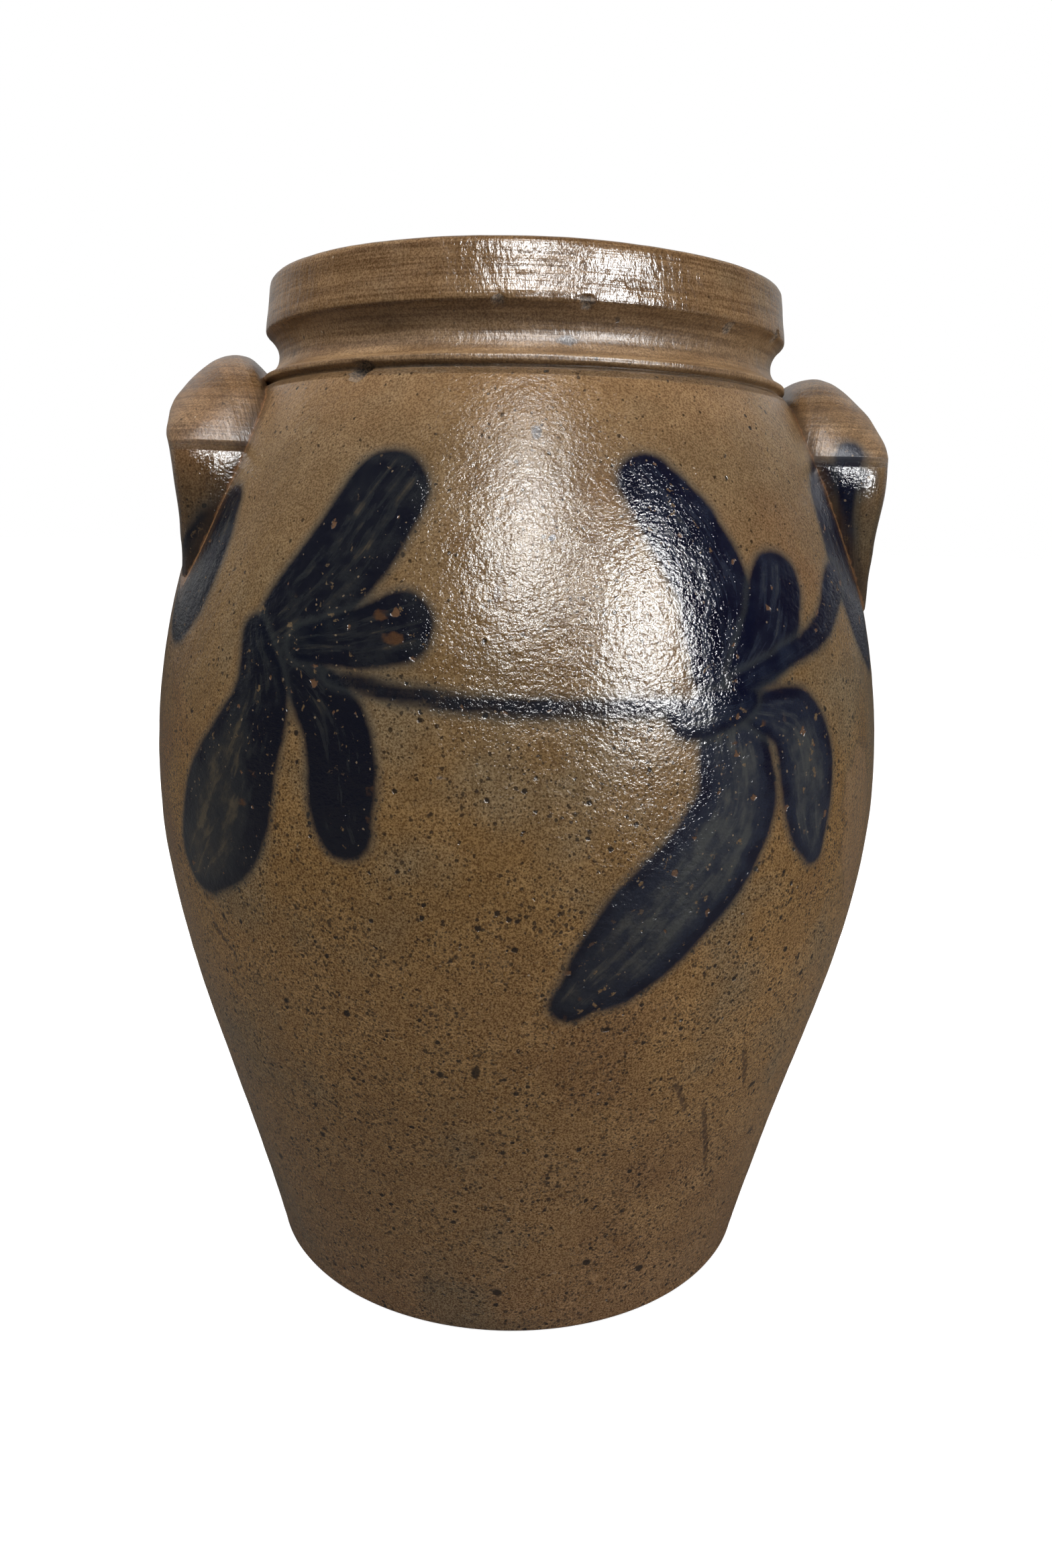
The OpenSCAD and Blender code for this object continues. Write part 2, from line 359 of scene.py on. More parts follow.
def marks_field(azimuth, z):
    """Depth in mm inside the kiln scar, inside the chips, and inside the scratches."""
    a, h, half_w, half_h = KISS_PATCH
    away = np.hypot(np.radians(azimuth - a) * wall_radius(z) / half_w / MM, (z / MM - h) / half_h)
    scar = (1 - away) * half_w
    chips = np.full(z.shape, OFF_MARK)
    for a, h, size, _ in CHIPS:
        du, dv = np.radians(turn_from(a, azimuth)) * RIM_R, z / MM - h
        chips = np.maximum(chips, size - np.hypot(du, dv * 1.3))
    cuts = np.full(z.shape, OFF_MARK)
    for (a0, h0), (a1, h1) in SCRATCHES:
        r = wall_radius(h0 * MM) / MM
        way = np.array([math.radians(a1 - a0) * r, h1 - h0])
        du, dv = np.radians(azimuth - a0) * r, z / MM - h0
        t = np.clip((du * way[0] + dv * way[1]) / (way @ way), 0, 1)
        cuts = np.maximum(cuts, 1.0 * np.sin(np.pi * t) - np.hypot(du - t * way[0], dv - t * way[1]))
    return np.stack([scar, np.clip(chips, OFF_MARK, 9), cuts], axis=-1)


def spots_field(azimuth, z):
    """Depth in mm inside the nearest dark, rusty and grey spot."""
    fields = []
    for spots in SPOTS.values():
        field = np.full(z.shape, OFF_MARK)
        for a, h, half_w, half_h in spots:
            du, dv = np.radians(turn_from(a, azimuth)) * wall_radius(z) / MM, z / MM - h
            field = np.maximum(field, (1 - np.hypot(du / half_w, dv / half_h)) * min(half_w, half_h))
        fields.append(field)
    return np.stack(fields, axis=-1)


def thrown_relief(points, azimuth, z, outside):
    """Height of the throwing lines, the slow waver and the lumps above the true surface."""
    helix = z + azimuth / 360 * 6 * MM
    line = np.stack([0 * helix, 0 * helix, helix], axis=-1)
    rings = lumps(line, 2.6 * MM, 3) * 0.5 + lumps(line, 7 * MM, 4)
    waver = lumps(points, 70 * MM, 5)
    top = smoothstep(z, CROCK_H - 46 * MM, CROCK_H - 34 * MM)
    low = 1 - smoothstep(z, 0.02, 0.09)
    outer = rings * (0.05 + 0.06 * top + 0.05 * low) * (0.6 + 0.4 * waver)
    outer += 0.45 * waver * (1 - 0.5 * top) + 0.12 * lumps(points, 16 * MM, 6)
    outer += 0.05 * lumps(points, 5 * MM, 7)
    inner = lumps(line, 9 * MM, 8) * 0.45 + 0.3 * waver
    return np.where(outside[:, None], outer, inner) * MM


def make_crock(handles):
    rows, outside = crock_rows()
    azimuths = crock_angles()
    grid = turned_points(rows, azimuths)
    azimuth = np.broadcast_to(azimuths, grid.shape[:2])
    z = np.broadcast_to(rows[:, 1:], grid.shape[:2])
    rise = thrown_relief(grid, azimuth, z, outside)
    strokes = {layer: stroke_field(paths, azimuth, z) for layer, paths in STROKES.items()}
    behind = stroke_field(BACK_STROKES, azimuth, z)
    deeper = behind[..., :1] > strokes["under"][..., :1]
    strokes["under"] = np.where(deeper, behind, strokes["under"])
    for layer, thick in SLIP_THICK.items():
        rise = rise + outside[:, None] * thick * MM * smoothstep(strokes[layer][..., 0], -0.5, 2.5)
    marks = marks_field(azimuth, z)
    for a, h, size, depth in CHIPS:
        away = np.hypot(np.radians(turn_from(a, azimuth)) * RIM_R, z / MM - h)
        away = away + 0.5 * lumps(grid, 2 * MM, 11)
        rise = rise - outside[:, None] * depth * MM * smoothstep(away, size, size * 0.55)
    calm = smoothstep(z, 0.5 * MM, 6 * MM)
    calm = np.where(rows[:, :1] < SMOOTH_R, 0, calm)
    grid = grid + outward(rows, azimuths) * (rise * calm)[..., None]
    grid[..., 2] += 0.35 * MM * np.cos(np.radians(2 * azimuth + 50)) * smoothstep(z, 0.32, 0.345)
    piece = grid_mesh("crock_thrown", grid, "crock", "crock_body")
    for layer, field in strokes.items():
        hidden = np.where(outside[:, None], field[..., 0], OFF_STROKE)
        store(piece, "stroke_" + layer, np.stack([hidden, field[..., 1], field[..., 2]], axis=-1))
    store(piece, "marks", np.where(outside[:, None, None], marks, OFF_MARK))
    store(piece, "spots", np.where(outside[:, None, None], spots_field(azimuth, z), OFF_MARK))
    store(piece, "outside", np.broadcast_to(outside[:, None], z.shape))
    store(piece, "joint", joint_distance(grid, handles))
    return piece


def joint_distance(grid, handles):
    """Distance in mm from each grid point to the nearest handle, or NO_JOINT where none is near."""
    tree = KDTree(sum(len(piece.data.vertices) for piece in handles))
    count = 0
    for piece in handles:
        for vertex in piece.data.vertices:
            tree.insert(vertex.co, count)
            count += 1
    tree.balance()
    distance = np.full(grid.shape[:2], NO_JOINT)
    beside = (abs(grid[..., 0]) > 0.06) & (grid[..., 2] > 0.235) & (grid[..., 2] < 0.33)
    for i, j in np.argwhere(beside):
        distance[i, j] = min(NO_JOINT, tree.find(grid[i, j])[2] / MM)
    return distance


# ---------------------------------------------------------------- handles

LUG_HALF_A = 25
LUG_SPRING_Z = CROCK_H - 60.5 * MM
LUG_RISE = 21.5 * MM
LUG_END_Z = CROCK_H - 93.5 * MM
LUG_TOE_IN = 4
LUG_BITE = 3 * MM
ARCH_END = 0.55
RIGHT_LUG_DROP = 2 * MM
RIGHT_LUG_OUT = 2 * MM
SQUARENESS = 0.85
LUG_ROWS, LUG_COLUMNS = 150, 72
LUG_END = 1.09  # where the strap ends inside the wall, with 0 at its crown and 1 at its springing
# Along half a handle, from its crown: centre radius, reach and half width in mm, droop in degrees
LUG_PLACES = [0, 0.3, 0.55, 0.8, 1, LUG_END]
LUG_SHAPE = [
    (105.5, 18.5, 12.5, 48), (105.5, 17.5, 11, 35), (110.5, 14.5, 10, 17),
    (111.5, 9.5, 9.5, 2), (114.5, 7, 9, 0), (118.9, 1.2, 5, 0),
]


def lug_shape(u):
    """The sizes at each u, eased over a short run of the strap so that no step shows."""
    nearby = [smooth_line(LUG_PLACES, LUG_SHAPE, np.minimum(abs(u + shift), LUG_END))
              for shift in np.linspace(-0.15, 0.15, 11)]
    return np.mean(nearby, axis=0) * [MM, MM, MM, 1]


def lug_centre(u, drop, out):
    """Middle of the strap at each u as a point, and its angle from the middle of the handle."""
    nearby = [lug_path(u + shift, drop, out) for shift in np.linspace(-0.09, 0.09, 7)]
    return np.mean([point for point, _ in nearby], axis=0), np.mean([a for _, a in nearby], axis=0)


def lug_path(u, drop, out):
    """The strap's middle before its bends are eased."""
    k = abs(u)
    leg = np.maximum(0, (k - ARCH_END) / (1 - ARCH_END))
    turn = np.radians(np.minimum(k / ARCH_END, 1) * 90)
    angle = np.where(k < ARCH_END, LUG_HALF_A * np.sin(turn), LUG_HALF_A - LUG_TOE_IN * leg ** 2)
    arch = LUG_SPRING_Z + LUG_RISE * np.cos(turn)
    z = np.where(k < ARCH_END, arch, LUG_SPRING_Z - (LUG_SPRING_Z - LUG_END_Z) * leg)
    a = np.radians(np.sign(u) * angle)
    r = lug_shape(u)[:, 0] + out
    return np.stack([r * np.cos(a), r * np.sin(a), z - drop], axis=-1), a


def run_field(grid):
    """Like stroke_field, for the run of cobalt on the strap, which stands clear of the wall."""
    knots = np.array(LUG_RUN) * [1, MM, MM]
    at = -knots[:, 1]
    line = smooth_line(at, knots, np.linspace(at[0], at[-1], LUG_RUN_STEPS))
    azimuth = np.degrees(np.arctan2(grid[..., 0], -grid[..., 1]))[..., None]
    radius = np.hypot(grid[..., 0], grid[..., 1])[..., None]
    beside = np.radians(azimuth - line[:, 0]) * radius
    above = grid[..., 2][..., None] - line[:, 1]
    away = radius - LUG_RUN_R
    depth = (line[:, 2] - np.sqrt(beside ** 2 + above ** 2 + away ** 2)) / MM
    nearest = depth.argmax(-1)
    best = np.take_along_axis(depth, nearest[..., None], -1)[..., 0]
    return np.stack([best, 0.4 + 0 * best, nearest * LUG_RUN_STEP], axis=-1)


def unit(v):
    return v / np.linalg.norm(v, axis=-1, keepdims=True)


def rounded_power(v):
    return np.sign(v) * abs(v) ** SQUARENESS


def make_handle(name, node, drop, out, side, seed):
    """A pulled strap that arches over a finger hollow, with the ridges its pulling left."""
    u = np.linspace(-LUG_END, LUG_END, LUG_ROWS)
    around = np.linspace(0, 2 * np.pi, LUG_COLUMNS, endpoint=False)
    centre, a = lug_centre(u, drop, out)
    ahead, _ = lug_centre(u + 0.01, drop, out)
    behind, _ = lug_centre(u - 0.01, drop, out)
    along = unit(ahead - behind)
    _, reach, half_w, droop = (column[:, None] for column in lug_shape(u).T)
    droop = np.radians(droop)
    outwards = np.concatenate([
        np.cos(droop) * np.cos(a)[:, None], np.cos(droop) * np.sin(a)[:, None], -np.sin(droop)], axis=1)
    reach_dir = unit(outwards - along * (along * outwards).sum(1, keepdims=True))
    width_dir = np.cross(along, reach_dir)
    ring_cos, ring_sin = rounded_power(np.cos(around)), rounded_power(np.sin(around))
    ring = np.stack([np.cos(around), np.sin(around)], axis=-1)
    shape = (LUG_ROWS, LUG_COLUMNS)
    ridge_at = np.concatenate([np.broadcast_to(ring * 12 * MM, (*shape, 2)),
                               np.broadcast_to(u[:, None, None] * 14 * MM, (*shape, 1))], axis=-1)
    ridges = 0.17 * lumps(ridge_at, 3 * MM, seed) + 0.06 * lumps(ridge_at, 1.6 * MM, seed + 1)
    dents = 0.35 * lumps(ridge_at * [1, 1, 3], 9 * MM, seed + 2)
    swell = ((ridges + dents) * MM)[..., None]
    spread = (reach[..., None] * reach_dir[:, None, :] * ring_cos[None, :, None]
              + half_w[..., None] * width_dir[:, None, :] * ring_sin[None, :, None])
    grid = centre[:, None, :] + spread + unit(spread) * swell
    r = np.hypot(grid[..., 0], grid[..., 1])
    low = np.where(grid[..., 2] < NECK_Z, wall_radius(grid[..., 2]) - LUG_BITE, 0)
    scale = np.maximum(r, low) / r
    grid[..., :2] *= (scale * side)[..., None]
    piece = grid_mesh(name, grid, "crock", node)
    z = grid[..., 2]
    azimuth = np.degrees(np.arctan2(grid[..., 0], -grid[..., 1]))
    for layer, paths in STROKES.items():
        field = stroke_field(paths + (BACK_STROKES if layer == "under" else []), azimuth, z)
        if layer == "over":
            run = run_field(grid)
            field = np.where(field[..., :1] > run[..., :1], field, run)
        store(piece, "stroke_" + layer, field)
    store(piece, "joint", (np.hypot(grid[..., 0], grid[..., 1]) - wall_radius(z)) / MM)
    store(piece, "pull", np.stack([
        np.broadcast_to(u[:, None] * 60, z.shape), np.broadcast_to(np.degrees(around)[None, :], z.shape),
        0 * z], axis=-1))
    return piece


# ---------------------------------------------------------------- lid and weights

def rounded_outline(corners, radius, steps=5):
    """A (radius, height) outline whose corners, apart from its two ends, are rounded."""
    points = [corners[0]]
    for before, corner, after in zip(corners, corners[1:], corners[2:]):
        before, corner, after = (np.array(p, float) for p in (before, corner, after))
        in_way, out_way = before - corner, after - corner
        cut = min(radius, np.linalg.norm(in_way) * 0.45, np.linalg.norm(out_way) * 0.45)
        start = corner + in_way / np.linalg.norm(in_way) * cut
        end = corner + out_way / np.linalg.norm(out_way) * cut
        for t in np.linspace(0, 1, steps):
            points.append((1 - t) ** 2 * start + 2 * t * (1 - t) * corner + t * t * end)
    return np.array([*points, corners[-1]])


def turned_rows(outline, step):
    """Evenly spaced (radius, height) rows along an outline."""
    place = lengths_along(outline)
    at = np.linspace(0, place[-1], round(place[-1] / step))
    return np.stack([np.interp(at, place, outline[:, 0]), np.interp(at, place, outline[:, 1])], axis=1)


def make_turned(name, node, body, outline, step, columns, relief):
    """A turned piece whose rows follow the outline, raised by relief(points, z) in mm."""
    rows = turned_rows(outline, step)
    azimuths = np.linspace(0, 360, columns, endpoint=False)
    grid = turned_points(rows, azimuths)
    r = np.broadcast_to(rows[:, :1], grid.shape[:2])
    azimuth = np.broadcast_to(azimuths, grid.shape[:2])
    rise = relief(grid, azimuth, r) * MM * smoothstep(r, 1 * MM, 5 * MM)
    grid = grid + outward(rows, azimuths) * rise[..., None]
    return grid_mesh(name, grid, body, node)


def make_lid():
    low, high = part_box("lid_disc")
    knob_low, knob_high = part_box("lid_knob")
    r, edge_z, pad_r = high.x, high.z - 2.5 * MM, 24 * MM
    disc = rounded_outline(
        [(0.8 * MM, low.z), (r - 2 * MM, low.z), (r, low.z + 2 * MM), (r, edge_z),
         (pad_r, high.z), (0.8 * MM, high.z)], 2.2 * MM)

    def lid_spiral(points, azimuth, radius):
        turn = radius + azimuth / 360 * 5 * MM
        line = np.stack([turn, 0 * turn, 0 * turn], axis=-1)
        return 0.16 * lumps(line, 4 * MM, 21) + 0.12 * lumps(points, 18 * MM, 22)

    lid = make_turned("lid_thrown", "lid_disc", "lid", disc, 1.1 * MM, 256, lid_spiral)
    size, height = knob_high.x, knob_high.z - knob_low.z
    knob = rounded_outline(
        [(0.8 * MM, knob_low.z), (0.72 * size, knob_low.z), (0.62 * size, knob_low.z + 0.22 * height),
         (0.66 * size, knob_low.z + 0.42 * height), (size, knob_low.z + 0.55 * height),
         (size, knob_low.z + 0.82 * height), (0.6 * size, knob_high.z), (0.8 * MM, knob_high.z)], 4 * MM, 7)

    def knob_waver(points, azimuth, radius):
        return 0.2 * lumps(points, 9 * MM, 23) + 0.1 * lumps(points, 3 * MM, 24)

    top = make_turned("knob_thrown", "lid_knob", "lid", knob, 0.7 * MM, 128, knob_waver)
    return [lid, top]


def weight_outline(radius, gap, count):
    """Half-moon outline as (x, y) points at even spacing, anticlockwise, with eased corners."""
    reach = math.sqrt(radius ** 2 - gap ** 2)
    turn = math.atan2(reach, gap)
    curve = [(radius * math.cos(a), radius * math.sin(a)) for a in np.linspace(-turn, turn, 90)]
    corners = [(gap, 0), (gap, -reach), *curve[4:-4], (gap, reach), (gap, 0)]
    line = rounded_outline(corners, 5 * MM)
    return turned_rows(line, lengths_along(line)[-1] / (count + 1))[:count]


def make_weight(name, node, body, side, seed):
    """A half-moon slab with a finger hole: rings of points run from the hole's wall round the slab."""
    low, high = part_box(node)
    radius, gap = max(abs(low.x), abs(high.x)), min(abs(low.x), abs(high.x))
    hole_r, hole_x = 11 * MM, 0.45 * radius
    count = 240
    outer = weight_outline(radius, gap, count)
    facing = np.arctan2(outer[:, 1], outer[:, 0] - hole_x)
    order = np.argsort(facing)
    outer, facing = outer[order], facing[order]
    hole = np.stack([hole_x + hole_r * np.cos(facing), hole_r * np.sin(facing)], axis=1)
    bevel = 2.6 * MM
    # (share of the way from hole to edge, inset from the edge, height) of each ring of the section
    eased = [(math.sin(a), 1 - math.cos(a)) for a in np.linspace(0, math.pi / 2, 5)]
    hole_lip = [(0, -bevel * 0.5 * (1 - a), high.z - bevel * 0.5 * b) for a, b in reversed(eased)]
    flat = [(share, 0, high.z) for share in np.linspace(0, 1, 16)[1:-1]]
    edge = [(1, bevel * (1 - a), high.z - bevel * b) for a, b in eased]
    section = [*hole_lip, *flat, *edge]
    mirrored = [(share, inset, low.z + high.z - z) for share, inset, z in reversed(section)]
    wall = [(1, 0, z) for z in np.linspace(high.z - bevel * 1.4, low.z + bevel * 1.4, 8)]
    bore = [(0, 0, z) for z in np.linspace(low.z + bevel, high.z - bevel, 7)]
    way = unit(outer - hole)
    rings = []
    for share, inset, z in [*section, *wall, *mirrored, *bore]:
        spot = hole + (outer - hole) * share - way * inset
        rings.append(np.concatenate([spot, np.full((count, 1), z)], axis=1))
    grid = np.array(rings)
    grid[..., 0] *= side
    grid += 0.22 * MM * np.stack([lumps(grid + k, 7 * MM, seed + k) for k in range(3)], axis=-1)
    return closed_ring_mesh(name, grid if side < 0 else grid[:, ::-1], body, node)


def closed_ring_mesh(name, grid, body, node):
    """A piece like a ring: the grid wraps round both ways."""
    rows, columns = grid.shape[:2]
    index = np.arange(rows * columns).reshape(rows, columns)
    right, down = np.roll(index, -1, axis=1), np.roll(index, -1, axis=0)
    corner = np.roll(right, -1, axis=0)
    quads = np.stack([index, right, corner, down], axis=-1).reshape(-1, 4)
    return new_piece(name, grid.reshape(-1, 3).tolist(), quads.tolist(), body, node)


# ---------------------------------------------------------------- shader nodes

class Shader:
    """A material on the Principled shader, with short calls that add and wire its nodes."""

    def __init__(self, name):
        self.material = bpy.data.materials.new(name)
        self.material.use_nodes = True
        self.tree = self.material.node_tree
        self.tree.nodes.clear()
        self.surface = self.tree.nodes.new("ShaderNodeBsdfPrincipled")
        output = self.tree.nodes.new("ShaderNodeOutputMaterial")
        self.tree.links.new(self.surface.outputs[0], output.inputs[0])
        self.place = self.tree.nodes.new("ShaderNodeTexCoord").outputs["Object"]

    def feed(self, socket, value):
        if isinstance(value, bpy.types.NodeSocket):
            self.tree.links.new(value, socket)
        elif socket.type == "RGBA" and len(value) == 3:
            socket.default_value = (*value, 1)
        else:
            socket.default_value = value

    def node(self, kind, inputs, **settings):
        """A new node with its settings, and its inputs fed by number or name."""
        node = self.tree.nodes.new("ShaderNode" + kind)
        for name, setting in settings.items():
            setattr(node, name, setting)
        for socket, value in inputs.items():
            self.feed(node.inputs[socket], value)
        return node

    def math(self, operation, a, b=0.0, clamp=False):
        return self.node("Math", {0: a, 1: b}, operation=operation, use_clamp=clamp).outputs[0]

    def add(self, a, b):
        return self.math("ADD", a, b)

    def times(self, a, b):
        return self.math("MULTIPLY", a, b)

    def step(self, value, low, high, start=0.0, end=1.0):
        """Start up to low, end from high on, and smooth between."""
        numbers = dict(enumerate((value, low, high, start, end)))
        return self.node("MapRange", numbers, interpolation_type="SMOOTHSTEP").outputs[0]

    def noise(self, scale, detail=2.0, roughness=0.5, vector=None):
        inputs = {"Vector": vector or self.place, "Scale": scale, "Detail": detail, "Roughness": roughness}
        return self.node("TexNoise", inputs).outputs[0]

    def warped(self, scale, amount):
        """Places pushed about by up to half the amount, so that round shapes come out ragged."""
        noise = self.node("TexNoise", {"Vector": self.place, "Scale": scale})
        inputs = {0: noise.outputs["Color"], 1: (amount, amount, amount), 2: self.place}
        return self.node("VectorMath", inputs, operation="MULTIPLY_ADD").outputs[0]

    def cells(self, scale, vector=None):
        """Distance to the nearest of scattered spots, in spots per unit, and two numbers for each spot."""
        node = self.node("TexVoronoi", {"Vector": vector or self.place, "Scale": scale})
        split = self.node("SeparateColor", {0: node.outputs["Color"]})
        return node.outputs["Distance"], split.outputs[0], split.outputs[1]

    def specks(self, scale, share, size, vector=None):
        """1 inside round specks of up to the given size. Share of all the spots have one."""
        distance, pick, vary = self.cells(scale, vector)
        grown = self.times(self.add(self.times(vary, 0.6), 0.4), size)
        inside = self.step(self.math("DIVIDE", distance, grown), 1.15, 0.75)
        return self.times(inside, self.step(pick, share, self.math("SUBTRACT", share, 0.02)))

    def mix(self, factor, a, b, blend="MIX"):
        return self.node("Mix", {0: factor, 6: a, 7: b}, data_type="RGBA", blend_type=blend).outputs[2]

    def mix_number(self, factor, a, b):
        return self.node("Mix", {0: factor, 2: a, 3: b}, data_type="FLOAT").outputs[0]

    def ramp(self, value, stops, ease="LINEAR"):
        node = self.node("ValToRGB", {0: value})
        node.color_ramp.interpolation = ease
        points = node.color_ramp.elements
        while len(points) < len(stops):
            points.new(0.5)
        for point, (place, colour) in zip(points, stops):
            point.position = place
            point.color = (*colour, 1)
        return node.outputs[0]

    def attribute(self, name):
        node = self.node("Attribute", {}, attribute_name=name)
        return node.outputs["Vector"], node.outputs["Fac"]

    def split(self, vector):
        return tuple(self.node("SeparateXYZ", {0: vector}).outputs)

    def join(self, x, y, z):
        return self.node("CombineXYZ", {0: x, 1: y, 2: z}).outputs[0]

    def bump(self, relief):
        """Normal of a surface raised by relief, which is in mm."""
        return self.node("Bump", {"Distance": MM, "Height": relief}).outputs[0]

    def finish(self, colour, roughness, normal, **uniform):
        self.feed(self.surface.inputs["Base Color"], colour)
        self.feed(self.surface.inputs["Roughness"], roughness)
        self.feed(self.surface.inputs["Normal"], normal)
        for name, value in uniform.items():
            self.surface.inputs[name.replace("_", " ")].default_value = value
        return self.material


# ---------------------------------------------------------------- materials

# Partly the glaze's own tone by height and partly painted light: the zones low on the body and at the
# neck's cove are paler, to stand in for light that falls short there.
BODY_TONE_AND_PAINTED_LIGHT = [  # height as a share of the crock's, colour
    (0.00, (0.250, 0.140, 0.064)), (0.15, (0.290, 0.166, 0.070)), (0.35, (0.305, 0.172, 0.066)),
    (0.50, (0.225, 0.126, 0.044)), (0.66, (0.185, 0.112, 0.048)), (0.82, (0.180, 0.114, 0.055)),
    (0.897, (0.240, 0.142, 0.066)), (0.935, (0.240, 0.142, 0.066)), (0.95, (0.195, 0.110, 0.048)),
]


def mottled(s, colour, amount, strength):
    """The colour made darker and redder where the amount is low, and paler where it is high."""
    dark = s.mix(1.0, colour, (0.45, 0.38, 0.32), "MULTIPLY")
    pale = s.mix(1.0, colour, (1.45, 1.52, 1.62), "MULTIPLY")
    deeper = s.mix(s.times(s.step(amount, 0.52, 0.40), strength), colour, dark)
    return s.mix(s.times(s.step(amount, 0.48, 0.60), strength), deeper, pale)


def salted_clay(s, height):
    """Colour, roughness and relief in mm of the bare salted body: zones by height, which carry painted
    light, then mottling, grain, specks.
    """
    x, y, z = s.split(s.place)
    low = s.step(height, 0.76, 0.36)
    neck = s.step(height, 0.893, 0.903)
    ragged = s.warped(900, 0.0011)
    # tone by height, with painted light: paler low on the body and in the neck's cove
    colour = s.ramp(height, BODY_TONE_AND_PAINTED_LIGHT, "EASE")
    drift = s.noise(13, 3, 0.6)
    colour = s.mix(s.step(drift, 0.52, 0.70, 0, 0.5), colour, (0.165, 0.080, 0.034))
    colour = s.mix(s.step(drift, 0.48, 0.34, 0, 0.5), colour, (0.175, 0.135, 0.080))
    patchy = s.noise(85, 3, 0.6)
    grain = s.noise(1700, 3, 0.7)
    colour = mottled(s, colour, patchy, 0.16)
    colour = mottled(s, colour, grain, s.add(0.62, s.times(low, 0.33)))
    crowd = s.add(s.step(neck, 0, 1, 0.13, 0.03), s.times(low, 0.87))
    crowd = s.times(s.step(patchy, 0.34, 0.58), crowd)
    fine = s.specks(1000, crowd, 0.46)
    iron = s.specks(560, crowd, 0.40, ragged)
    medium = s.specks(290, s.times(crowd, 0.52), 0.28, ragged)
    large = s.specks(105, s.add(0.01, s.times(low, 0.25)), 0.18, ragged)
    pits = s.math("MAXIMUM", medium, large)
    dark = s.math("MAXIMUM", s.math("MAXIMUM", s.times(fine, 0.7), s.times(iron, 0.85)), pits)
    colour = s.mix(s.times(dark, 0.92), colour, (0.012, 0.008, 0.006))
    pale = s.specks(230, s.step(drift, 0.40, 0.55, 0.03, 0.12), 0.10, ragged)
    colour = s.mix(s.times(pale, 0.8), colour, (0.50, 0.39, 0.26))
    pebble = s.noise(680, 3, 0.6, s.join(x, y, s.times(z, s.mix_number(neck, 1.2, 0.42))))
    combed = s.noise(1.0, 2, 0.6, s.join(s.times(x, 24), s.times(y, 24), s.times(z, 800)))
    colour = mottled(s, colour, combed, s.times(neck, 0.4))
    rough = s.step(patchy, 0.35, 0.7, 0.08, 0.14)
    collar = s.step(height, 0.945, 0.955)
    satin = s.math("MAXIMUM", low, s.math("SUBTRACT", s.times(neck, 1.5), collar))
    rough = s.add(rough, s.times(satin, 0.17))
    pebble = s.add(pebble, s.times(s.noise(190, 1), 0.9))
    relief = s.add(s.times(pebble, s.mix_number(neck, 0.31, 0.30)), s.times(s.times(combed, neck), 0.13))
    relief = s.add(relief, s.times(grain, 0.02))
    relief = s.math("SUBTRACT", relief, s.times(pits, 0.12))
    return colour, rough, relief, grain


COBALT = {  # colours of the slip where it is thick, ordinary and worn thin
    "left": [(0.0030, 0.0042, 0.0110), (0.0150, 0.0170, 0.0210), (0.0740, 0.0590, 0.0390)],
    "right": [(0.0010, 0.0014, 0.0120), (0.0120, 0.0160, 0.0310), (0.0520, 0.0550, 0.0560)],
}


def brush_layer(s, name, base, slip, patchy, fray, wear, cover_so_far):
    """Lays one layer of cobalt strokes over a colour. Returns the colour and the cover so far."""
    depth, across, along = s.split(s.attribute(name)[0])
    depth = s.add(depth, fray)
    low, heavy = wear
    halo = s.step(depth, -3.4, 0.0)
    cover = s.step(depth, -1.1, 1.1)
    streaks = s.noise(1.0, 3, 0.62, s.join(s.times(across, 4.5), s.times(along, 0.06), 0.0))
    inner = s.times(s.step(s.math("ABSOLUTE", across), 0.95, 0.35), s.step(depth, 0.5, 5.0))
    thin = s.times(s.step(streaks, 0.44, 0.68), s.times(inner, s.mix_number(low, 0.55, 0.34)))
    thin = s.add(thin, s.times(s.add(patchy, -0.46), 1.1))
    thin = s.math("SUBTRACT", thin, s.times(heavy, 0.28))
    thin = s.math("ADD", thin, s.times(low, s.mix_number(inner, 0.04, 0.56)), clamp=True)
    colour = s.mix(s.step(thin, -0.10, 0.34), slip[0], slip[1])
    colour = s.mix(s.step(thin, 0.34, 0.95), colour, slip[2])
    under = s.mix(s.times(halo, 0.5), base, (0.042, 0.046, 0.044))
    colour = s.mix(s.times(cover, 0.98), under, colour)
    return colour, s.math("MAXIMUM", cover_so_far, cover)


